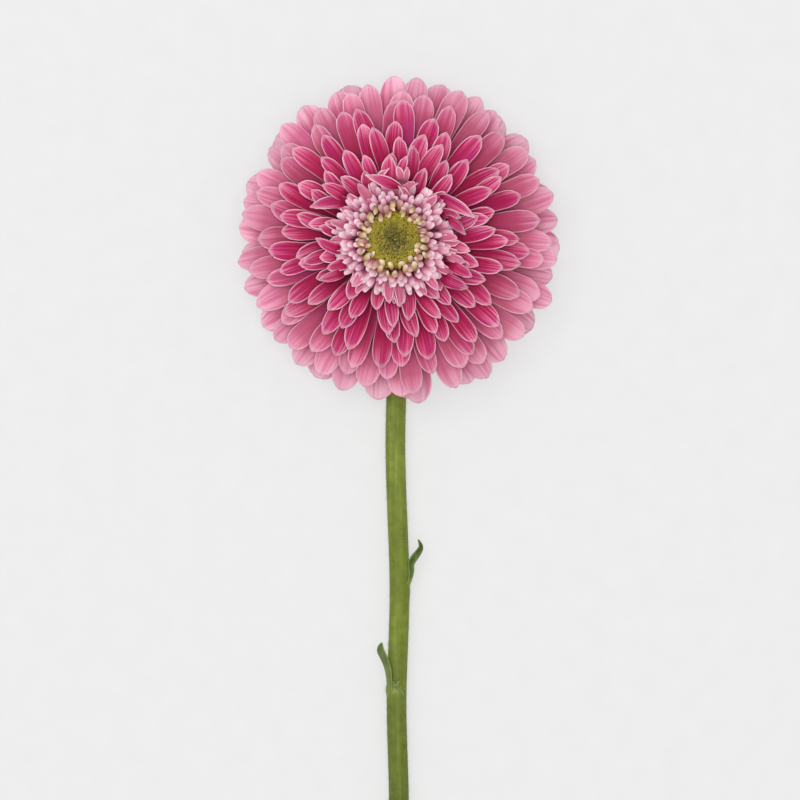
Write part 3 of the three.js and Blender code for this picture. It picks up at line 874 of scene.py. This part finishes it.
def cream_floret(n):
    row_radius, row_rise = CREAM_ROWS[n % 2]
    azimuth = (n + 0.7 * draw(n, 11)) * 2 * math.pi / CREAM_COUNT
    tip_radius = (row_radius + 0.9 * draw(n, 10)) * MM
    rise = (row_rise + 0.7 * draw(n, 34)) * MM
    stalk = {
        "azimuth": azimuth,
        "root": (tip_radius + 3.6 * MM, EYE_BASE + rise - 1.0 * MM),
        "knee": (tip_radius + 1.7 * MM, EYE_BASE + rise + 1.7 * MM),
        "tip": (tip_radius, EYE_BASE + rise),
        "swing": 1.7 * MM * draw(n, 35),
        "roll": math.pi + 0.8 * draw(n, 36),
    }
    return stub(n, stalk, CREAM_HALF_WIDTH * (1 + 0.3 * draw(n, 37)))


cream = joined("cream_disc_florets", [cream_floret(n) for n in range(CREAM_COUNT)])
seat(cream, cream_petal, "open_disc_floret", "open_disc_florets")

# %% [markdown]
# Between them stand the bristles that will carry the seeds, stiff and tan; their colour runs down to a
# dark brown, which is painted shade between the cream lips. A bristle is a cone with three sides, set
# from one point to another; the down on the stem is made the same way later on.

# %% Bristles
bpy.ops.mesh.primitive_cone_add(vertices=3, radius1=1, radius2=0, depth=1, location=(0, 0, 0.5))
needle_blank = bpy.context.active_object
bpy.ops.object.transform_apply(location=True)


def needle(base, tip, radius):
    shape = points_of(needle_blank)
    axis = Vector(tip) - Vector(base)
    turn = np.array(axis.to_track_quat("Z", "Y").to_matrix())
    shape = shape * (radius, radius, axis.length)
    return copy_of(needle_blank, np.array(base) + shape @ turn.T)


BRISTLE_COUNT = 260
BRISTLE_RADIUS = 0.13 * MM


def bristle(n):
    azimuth = n * GOLDEN_ANGLE
    radius = (10.6 + 1.5 * draw(n, 47)) * MM
    height = (3.6 + 0.8 * draw(n, 48)) * MM
    lean = 0.5 * MM * draw(n, 49) - 0.3 * MM
    out = np.array([math.cos(azimuth), math.sin(azimuth), 0])
    base = np.array([HEAD_X, HEAD_Y, EYE_BASE + 0.2 * MM]) + radius * out
    return needle(base, base + lean * out + np.array([0.4 * MM * draw(n, 50), 0, height]), BRISTLE_RADIUS)


# Tan, running down to a dark brown that is painted shade between the cream lips.
straw = speckled("tan_bristle_with_painted_shade", 0.9 / MM, [(0.35, "#3c280c"), (0.7, "#8a6632")], Roughness=0.55)
bristles = joined("disc_bristles", [bristle(n) for n in range(BRISTLE_COUNT)])
seat(bristles, straw, "open_disc_floret", "open_disc_florets")

# %% [markdown]
# ## The green eye
#
# In the middle the disc florets are still shut. Each is a bud about a millimetre across, and they
# stand in the same golden spiral. One bud is an icosphere drawn in at the top; it is copied 640 times.
# The outer buds are the ripest, so the colour goes from olive in the middle to yellow at the rim.

# %% Buds
BUD_COUNT = 640
BUD_RADIUS = 0.5 * MM
BUD_GRAIN = 1.5 / MM  # so many to a millimetre
bpy.ops.mesh.primitive_ico_sphere_add(subdivisions=2, radius=1)
bud_blank = bpy.context.active_object


def bud(n):
    share = math.sqrt((n + 0.5) / BUD_COUNT)
    azimuth = n * GOLDEN_ANGLE + 0.02 * draw(n, 45) / share
    radius = share * (DISC_RADIUS + 0.9 * MM) + 0.2 * MM * draw(n, 46)
    dimple = 0.5 * MM * (1 - float(smooth(0, 0.45, share)))
    height = EYE_BASE + 1.8 * MM - share**3 * MM - dimple + 0.18 * MM * draw(n, 40)
    ball = points_of(bud_blank)
    pinch = 1 - 0.45 * smooth(0.2, 1, ball[:, 2])
    size = BUD_RADIUS * (1 + 0.15 * draw(n, 41)) * mix(0.85, 1.1, share)
    askew = 0.2 * size * ball[:, 2]
    x = HEAD_X + radius * math.cos(azimuth) + ball[:, 0] * size * pinch + askew * draw(n, 42)
    y = HEAD_Y + radius * math.sin(azimuth) + ball[:, 1] * size * pinch + askew * draw(n, 43)
    z = height + ball[:, 2] * size * 1.1
    return copy_of(bud_blank, np.stack([x, y, z], axis=1), whorl=share, chance=0.5 + 0.5 * draw(n, 44))


bud_skin, tree, shader = finish(
    "closed_disc_buds", Roughness=0.7, Sheen_Weight=0.1, Subsurface_Weight=0.1, Subsurface_Scale=0.6 * MM
)
whorl, chance = (add(tree, "ShaderNodeAttribute", attribute_name=mark)["Fac"] for mark in ("whorl", "chance"))
ripening = [(0.0, "#5a551e"), (1.0, "#c4a628"), (0.4, "#756a1e"), (0.75, "#a49424")]
colour = add(tree, "ShaderNodeValToRGB", {0: whorl}, stops=ripening)[0]
where = add(tree, "ShaderNodeTexCoord")["Object"]
grain = add(tree, "ShaderNodeTexNoise", {"Vector": where, "Scale": BUD_GRAIN, "Detail": 3.0})
layers = [("#c6b648", [(chance, 0.5, 1.0, 0.0, 0.55)])]
lay_colours(tree, shader, colour, layers, [(grain[0], 0.3, 0.7, 0.85, 1.12)])
buds = joined("closed_buds", [bud(n) for n in range(BUD_COUNT)])
seat(buds, bud_skin, "disc_bud", "disc_buds")

# %% [markdown]
# ## Receptacle and involucre
#
# The receptacle is the pad that all florets grow from, hidden by them. Under it sits the involucre, a
# cup of narrow green bracts that once closed over the bud. Pad and cup are turned forms. By hand each
# starts as a circle that is drawn up ring by ring: extrude, then scale the new ring about the axis.

# %% A turned form, ring by ring
TURNED_SIDES = 48


def turned(name, rings):
    """A closed form round the head's axis, from (radius, height) pairs, from the lowest to the highest."""
    radius, height = rings[0]
    bpy.ops.mesh.primitive_circle_add(
        vertices=TURNED_SIDES, radius=radius, fill_type="NGON", location=(HEAD_X, HEAD_Y, height)
    )
    bpy.ops.object.transform_apply(location=True)
    bpy.ops.object.mode_set(mode="EDIT")
    for next_radius, next_height in rings[1:]:
        bpy.ops.mesh.extrude_region_move(TRANSFORM_OT_translate={"value": (0, 0, next_height - height)})
        scale = next_radius / radius
        bpy.ops.transform.resize(value=(scale, scale, 1), center_override=(HEAD_X, HEAD_Y, next_height))
        radius, height = next_radius, next_height
    bpy.ops.mesh.select_all(action="SELECT")
    bpy.ops.mesh.normals_make_consistent(inside=False)
    bpy.ops.object.mode_set(mode="OBJECT")
    return joined(name, [bpy.context.active_object])


def cup_height(share):
    return CUP_BASE + share * CUP_DEPTH


# Radius in mm, and share of the cup's height.
CUP_RINGS = [(4.9, 0.0), (7.2, 0.06), (8.9, 0.14), (11.4, 0.29)]
CUP_RINGS += [(13.3, 0.46), (14.8, 0.65), (15.7, 0.82), (16.2, 1.0)]
pad = turned(
    "receptacle",
    [
        (RECEPTACLE_RADIUS - 0.8 * MM, PAD_BASE),
        (RECEPTACLE_RADIUS, PAD_BASE + 1.6 * MM),
        (RECEPTACLE_RADIUS - 0.7 * MM, mix(PAD_BASE, PAD_TOP, 0.65)),
        (RECEPTACLE_TOP_RADIUS, PAD_TOP),
        (0.4 * RECEPTACLE_TOP_RADIUS, PAD_TOP + 0.4 * MM),
    ],
)
cup = turned("involucre_cup", [(radius * MM, cup_height(share)) for radius, share in CUP_RINGS])
print("pad and cup:", len(pad.data.vertices), len(cup.data.vertices), "points")

# %% [markdown]
# The bracts overlap up the cup in three rows. One narrow blank serves for all of them.

# %% Involucral bracts
# Root and tip are a radius in mm and a share of the cup's height; the rise at the foot is in degrees.
BRACT_ROWS = [
    {"count": 16, "root": (5.6, 0.06), "tip": (15.9, 0.62), "rise": 10},
    {"count": 21, "root": (9.6, 0.22), "tip": (18.2, 0.84), "rise": 22},
    {"count": 21, "root": (12.6, 0.42), "tip": (19.4, 0.97), "rise": 30},
]
BRACT_THICKNESS = 0.45 * MM
ROW_DRAWS = 40  # more than a row holds, so that no two bracts share a draw
PALE_EDGE = 0.22 * MM
bract_blank = grid_blank(6, 10)


def pale_edge(rim):
    """How pale a leaf is beside its margin."""
    return 0.5 * np.exp(-rim / PALE_EDGE)


def involucral_bract(row_number, row, i):
    n = ROW_DRAWS * row_number + i
    tip_radius = row["tip"][0] * MM + 0.5 * MM * draw(n, 51)
    root = (row["root"][0] * MM, cup_height(row["root"][1]) + 0.3 * MM)
    reach = 0.5 * (tip_radius - root[0])
    stalk = {
        "azimuth": (i + 0.5 * row_number + 0.12 * draw(n, 52)) * 2 * math.pi / row["count"],
        "root": root,
        "knee": (root[0] + reach, root[1] + reach * math.tan(math.radians(row["rise"]))),
        "tip": (tip_radius, cup_height(row["tip"][1]) + 0.2 * MM * draw(n, 53)),
        "roll": 0.1 * draw(n, 54),
    }
    half_width = 1.7 * MM * (1 + 0.12 * draw(n, 55))
    length = math.dist(stalk["root"], stalk["tip"])
    square = points_of(bract_blank)
    side, along, rim = outline(square, half_width, length, foot=0.8, tip_length=3.4, point=0.3)
    points = carry(side, along, 0.3 * np.abs(side), stalk)
    return copy_of(bract_blank, points, tip=along, pale=pale_edge(rim))


bracts = [involucral_bract(r, row, i) for r, row in enumerate(BRACT_ROWS) for i in range(row["count"])]
bracts = joined("involucral_bracts", bracts)
thicken(bracts, BRACT_THICKNESS)

# %% [markdown]
# ### Green finishes
#
# Living green tissue is a waxy skin over cells that let light in. Its green is uneven, with paler
# strands along the stem. The stem is a yellowish olive and the bracts are darker. The pith inside the
# stem is pale, and the pad, which is seen only between the florets, is tan. The pores of the skin are
# too fine to show, so they are drawn coarser.

# %% Green finishes
BLOTCHES = 0.09 / MM  # so many to a millimetre, and so are the next two
MOTTLING = 0.38 / MM
PORES = 2.4 / MM
PORE_SHARE = 0.4  # of the relief; the rest is the strands'
ROUND_STRANDS = (0.9, 0.9, 0.9)  # to a millimetre along each axis


def green_finish(name, stops, strand, pale, strand_counts=ROUND_STRANDS):
    """Green tissue: its colour goes by the mark "tip", and the mark "pale" tells where it is pale."""
    material, tree, shader = finish(
        name, Roughness=0.55, Specular_IOR_Level=0.25, Subsurface_Weight=0.08, Subsurface_Scale=0.8 * MM
    )
    shader["Subsurface Radius"].default_value = (0.6, 1.0, 0.3)
    marks = ("tip", "pale")
    along, paleness = (add(tree, "ShaderNodeAttribute", attribute_name=mark)["Fac"] for mark in marks)
    where = add(tree, "ShaderNodeTexCoord")["Object"]
    scale = [count / MM for count in strand_counts]
    drawn_out = add(tree, "ShaderNodeVectorMath", {0: where, 1: scale}, operation="MULTIPLY")[0]
    patterns = []
    for place, per_metre, detail in (
        (drawn_out, 1.0, 4.0),
        (where, BLOTCHES, 3.0),
        (where, MOTTLING, 3.0),
        (where, PORES, 2.0),
    ):
        inputs = {"Vector": place, "Scale": per_metre, "Detail": detail}
        patterns.append(add(tree, "ShaderNodeTexNoise", inputs)[0])
    strands, blotches, mottling, pores = patterns
    layers = [
        (strand, [(strands, 0.5, 0.75, 0.0, 0.5)]),
        (pale, [(paleness, 0.0, 1.0, 0.0, 1.0)]),
    ]
    brightness = [(blotches, 0.3, 0.7, 0.9, 1.1), (mottling, 0.3, 0.7, 0.84, 1.14)]
    colour = add(tree, "ShaderNodeValToRGB", {0: along}, stops=stops)[0]
    lay_colours(tree, shader, colour, layers, brightness)
    relief = add(tree, "ShaderNodeMix", {0: PORE_SHARE, 2: strands, 3: pores}, data_type="FLOAT")
    bump = add(tree, "ShaderNodeBump", {"Strength": 0.4, "Distance": 0.15 * MM, "Height": relief[0]})
    tree.links.new(bump[0], shader["Normal"])
    return material


involucre_skin = green_finish(
    "matt_green_bract",
    [(0.0, "#55672c"), (1.0, "#5d3a3c"), (0.75, "#4d6428")],
    strand="#7d9050",
    pale="#a9b878",
)
pad_skin = green_finish(
    "pale_receptacle",
    [(0.0, "#6e552c"), (1.0, "#86693a")],
    strand="#a58a54",
    pale="#cdbb8c",
)
for piece in (pad, cup):
    marked(piece.data, "tip", 0.3)  # one colour all over, from low on the ramp
seat(pad, pad_skin, "involucre", "ray_florets")
seat(cup, involucre_skin, "involucre", "involucre")
seat(bracts, involucre_skin, "involucre", "involucre")

# %% [markdown]
# ## The scape
#
# The stem has no leaves: it is one downy tube, a little ribbed, 6.8 mm thick, that swells where each
# small bract sits. A tube along a curve would do, but a hand modeller draws a circle out instead. Here
# it is extruded in even steps, and spun through a quarter turn where it rises into the head. It is
# made a little too long and cut off at a slant, as a florist does it. Two insets give the cut face
# rings of points, so that it can be pale inside a green rim.

# %% A straight tube with a bent neck
SCAPE_SIDES = 42
SCAPE_STEP = 1.3 * MM
CUT_SLANT = math.radians(35)
SPARE = 6 * MM  # beyond the cut, to be cut off
scape_start = SCAPE_END + SPARE
steps = round((scape_start - NECK_BEND) / SCAPE_STEP)
bpy.ops.mesh.primitive_circle_add(
    vertices=SCAPE_SIDES,
    radius=SCAPE_RADIUS,
    location=(HEAD_X, HEAD_Y - scape_start, SCAPE_RADIUS),
    rotation=(math.pi / 2, 0, 0),
)
scape = bpy.context.active_object
bpy.ops.object.transform_apply(location=True, rotation=True)
bpy.ops.object.mode_set(mode="EDIT")
for _ in range(steps):
    move = {"value": (0, (scape_start - NECK_BEND) / steps, 0)}
    bpy.ops.mesh.extrude_region_move(TRANSFORM_OT_translate=move)
bend_centre = (HEAD_X, HEAD_Y - NECK_BEND, SCAPE_RADIUS + NECK_BEND)
bpy.ops.mesh.spin(steps=10, angle=math.pi / 2, center=bend_centre, axis=(1, 0, 0))
bpy.ops.mesh.edge_face_add()
bpy.ops.mesh.select_all(action="SELECT")
bpy.ops.mesh.bisect(
    plane_co=(HEAD_X, HEAD_Y - SCAPE_END, SCAPE_RADIUS),
    plane_no=(0, -math.cos(CUT_SLANT), math.sin(CUT_SLANT)),
    use_fill=True,
    clear_outer=True,
)
bpy.ops.mesh.inset(thickness=0.7 * MM)
bpy.ops.mesh.inset(thickness=0.5 * MM)
bpy.ops.mesh.select_all(action="SELECT")
bpy.ops.mesh.normals_make_consistent(inside=False)
bpy.ops.object.mode_set(mode="OBJECT")
low, high = points_of(scape).min(axis=0), points_of(scape).max(axis=0)
print("scape from", np.round(low / MM, 1), "to", np.round(high / MM, 1), "mm")

# %% [markdown]
# The sway, the ribs and the swellings are then given to the points by a rule, much as a lattice would.
# The rule also holds for the hairs, which stand on the same surface.

# %% The sway, the ribs, and the swellings at the bracts
RIGHT_BRACT_DOWN = 120.1 * MM
LEFT_BRACT_DOWN = 153.9 * MM
RIBS = 9
RIB_DEPTH = 0.05 * MM


def swelling(down, centre, width):
    return np.exp(-(((down - centre) / width) ** 2))


def scape_radius(down, turn):
    """The stem's radius at a distance below the head's axis, and at an angle round it."""
    radius = SCAPE_RADIUS * (1 + 0.05 * smooth(0.5 * SCAPE_END, SCAPE_END, down))
    radius = radius + 0.12 * MM * np.sin(down / (31 * MM)) * np.sin(turn)
    radius += 0.45 * MM * swelling(down, LEFT_BRACT_DOWN, 1.6 * MM) * (0.5 - 0.5 * np.cos(turn))
    radius += 0.25 * MM * swelling(down, RIGHT_BRACT_DOWN, 2.4 * MM) * (0.5 + 0.5 * np.cos(turn))
    return radius + RIB_DEPTH * np.cos(RIBS * turn + 1.2 * np.sin(down / (47 * MM)))


points = points_of(scape)
down = HEAD_Y - points[:, 1]
bend = np.clip((points[:, 2] - 2 * SCAPE_RADIUS) / NECK_BEND, 0, 1)
lying = down > NECK_BEND
turn = np.arctan2(points[:, 2] - SCAPE_RADIUS, points[:, 0] - HEAD_X)
ratio = np.hypot(points[:, 0] - HEAD_X, points[:, 2] - SCAPE_RADIUS) / SCAPE_RADIUS
girth = scape_radius(down, turn) * np.minimum(ratio, 1)
points[:, 0] = np.where(lying, HEAD_X + girth * np.cos(turn), points[:, 0])
points[:, 2] = np.where(lying, SCAPE_RADIUS + girth * np.sin(turn), points[:, 2])
neck = mix(1, NECK_FLARE, bend * bend)
points[:, 0] = np.where(lying, points[:, 0], HEAD_X + (points[:, 0] - HEAD_X) * neck)
points[:, 0] += sway(down)
points[:, 2] = np.maximum(points[:, 2], 0)
scape.data.vertices.foreach_set("co", points.astype(np.float32).ravel())
marked(scape.data, "tip", np.clip(down / SCAPE_END, 0, 1))
above = points[:, 2] - SCAPE_RADIUS
off_cut = np.abs((down - SCAPE_END) * math.cos(CUT_SLANT) + above * math.sin(CUT_SLANT))
pith = (off_cut < 0.3 * MM) & (ratio < 0.9)
node_ring = 0.75 * swelling(down, LEFT_BRACT_DOWN, 1.7 * MM) * swelling(turn, 2.0, 0.7)
marked(scape.data, "pale", np.where(lying, np.maximum(pith, node_ring), 0))
scape = joined("scape_tube", [scape])

# %% [markdown]
# Each point's mark says how far down the stem it is. The stem is brightest near the head and turns
# darker towards the cut, and on the cut itself it shows pale pith.

# %% The scape's finish
scape_skin = green_finish(
    "downy_green_stem",
    [(0.0, "#707e2a"), (1.0, "#46521a"), (0.35, "#717f28"), (0.64, "#55621f")],
    strand="#8f9c48",
    pale="#aab45c",
    strand_counts=(0.7, 0.022, 0.7),  # drawn out along the stem
)
seat(scape, scape_skin, "scape", "scape")

# %% [markdown]
# The down is thousands of hairs, about 0.8 mm long and far thinner than can be drawn from a step away:
# they are about three times as thick here as on the plant. They point up the stem and outwards.

# %% Down
DOWN_COUNT = 3000
HAIR_RADIUS = 0.035 * MM


def hair(n):
    down = mix(9 * MM, SCAPE_END - 3 * MM, (n + 0.5) / DOWN_COUNT)
    # Most are drawn near the stem's two sides, where they show against the table.
    aside = draw(n, 60)
    turn = 0.5 * math.pi * (1 + 1.15 * math.copysign(math.sqrt(abs(aside)), aside))
    radius = float(scape_radius(down, turn))
    out = np.array([math.cos(turn), 0, math.sin(turn)])
    base = np.array([HEAD_X + float(sway(down)), HEAD_Y - down, SCAPE_RADIUS]) + (radius - 0.05 * MM) * out
    lean = np.array([0.2 * draw(n, 61), 0.5 + 0.4 * draw(n, 62), 0.1 * draw(n, 63)])
    return needle(base, base + (0.75 + 0.2 * draw(n, 64)) * MM * (out + lean), HAIR_RADIUS)


woolly = [(0.3, "#a3ad78"), (0.7, "#d5d9bd")]
wool = speckled("pale_down", 0.3 / MM, woolly, Roughness=0.6, Specular_IOR_Level=0.2)
down_hairs = joined("scape_down", [hair(n) for n in range(DOWN_COUNT)])
seat(down_hairs, wool, "scape", "scape")

# %% [markdown]
# ## Two small leaves on the scape
#
# Though it has no true leaves, this scape bears two bracts, like narrow leaves 19 mm long. The right
# one hugs the stem, bulges and curls away to a hooked tip. The left one clasps the stem with a pale
# sheath that is torn into a tiny hook, and leaves it further up. Each is a blank laid along a curve
# through a few points. Their places were measured in the photograph, and their heights are a guess.

# %% A leaf laid along a curve
def smooth_line(knots, t):
    """A smooth curve through knots, at shares t of its way."""
    place = np.clip(t, 0, 1) * (len(knots) - 1)
    i = np.minimum(place.astype(int), len(knots) - 2)
    return curve_through(knots, np.gradient(knots, axis=0), i, (place - i)[:, None])


def leaf(knots, half_width, turns, fold, foot, tip_length=3.0, pale=0.0):
    """A leaf along knots. Turns say how level its width is at foot and tip: 0 is upright, 1 is level."""
    knots = np.array(knots) * MM
    length = float(np.linalg.norm(np.diff(knots, axis=0), axis=1).sum())
    square = points_of(leaf_blank)
    side, along, rim = outline(square, half_width, length, foot=foot, tip_length=tip_length, point=0.3)
    centre = smooth_line(knots, along)
    ahead = smooth_line(knots, along + 2 * NUDGE) - smooth_line(knots, along - 2 * NUDGE)
    ahead /= np.linalg.norm(ahead, axis=1, keepdims=True)
    level = np.stack([-ahead[:, 1], ahead[:, 0], np.zeros(len(ahead))], axis=1)
    level /= np.linalg.norm(level, axis=1, keepdims=True)
    turn = (mix(turns[0], turns[1], along) * math.pi / 2)[:, None]
    across = np.cos(turn) * (0, 0, 1) + np.sin(turn) * level
    up = np.cross(ahead, across)
    up *= np.sign(up[:, 2:])
    height = fold * np.abs(side) + 0.12 * MM * np.sin(9 * along) * side / half_width
    height -= 0.1 * MM * np.exp(-((side / (0.2 * half_width)) ** 2))
    points = centre + side[:, None] * across + height[:, None] * up + (HEAD_X, HEAD_Y, 0)
    return copy_of(leaf_blank, points, tip=along, pale=np.maximum(pale_edge(rim), pale))


# %% The two bracts
leaf_blank = grid_blank(10, 22)
LEAF_THICKNESS = 0.4 * MM
# In mm: right of the head's axis and above it in the picture, and the height over the table.
RIGHT_BRACT = [
    (3.7, -120.8, 5.3),
    (4.7, -118.5, 5.0),
    (5.6, -115.8, 4.9),
    (6.0, -113.2, 4.7),
    (5.8, -110.9, 4.7),
    (6.9, -108.7, 4.8),
    (8.5, -106.6, 4.9),
    (9.3, -104.7, 5.1),
    (8.3, -102.2, 5.3),
]
LEFT_BRACT = [
    (-1.3, -157.0, 4.6),
    (-1.4, -154.8, 6.0),
    (-1.4, -152.2, 6.9),
    (-1.6, -149.0, 7.2),
    (-2.2, -145.9, 7.1),
    (-3.3, -142.9, 6.7),
    (-4.5, -140.2, 6.3),
    (-4.2, -137.6, 6.2),
]
SHEATH = [
    (-0.9, -151.2, 6.9),
    (0.5, -152.6, 7.0),
    (1.7, -153.8, 6.8),
    (2.6, -155.1, 6.3),
    (3.1, -156.4, 5.5),
]
SHEATH_HOOK = [(-0.3, -152.5, 7.3), (0.7, -152.2, 7.7), (1.4, -151.5, 7.8), (1.9, -150.7, 7.6)]

leaf_skin = green_finish(
    "matt_green_leaf",
    [(0.0, "#8f9a40"), (1.0, "#3a4a14"), (0.3, "#53661f"), (0.6, "#455a1a")],
    strand="#7d9448",
    pale="#a7b578",
    strand_counts=(0.9, 0.0614, 0.9),  # drawn out along the leaf
)
right_leaf = joined(
    "right_bract_blade",
    [leaf(RIGHT_BRACT, 1.25 * MM, (0.75, 0.95), 0.3, foot=0.3, tip_length=6)],
)
left_leaf = joined(
    "left_bract_blade",
    [
        leaf(LEFT_BRACT, 1.3 * MM, (1.35, 1.1), 0.35, foot=0.6, pale=0.2),
        leaf(SHEATH, 0.55 * MM, (0.95, 0.8), 0.05, foot=1.0, pale=0.3),
        leaf(SHEATH_HOOK, 0.3 * MM, (0.8, 0.5), 0.2, foot=1.0, pale=0.6),
    ],
)
for piece, node in ((right_leaf, "right_scape_bract"), (left_leaf, "left_scape_bract")):
    thicken(piece, LEAF_THICKNESS)
    seat(piece, leaf_skin, "scape_bract", node)

# %% [markdown]
# ## The end
#
# Every copy has a mesh of its own, so the blanks can go.

# %% The blanks have done their work
for blank in (petal_blank, stub_blank, bud_blank, needle_blank, bract_blank, leaf_blank):
    bpy.data.objects.remove(blank)
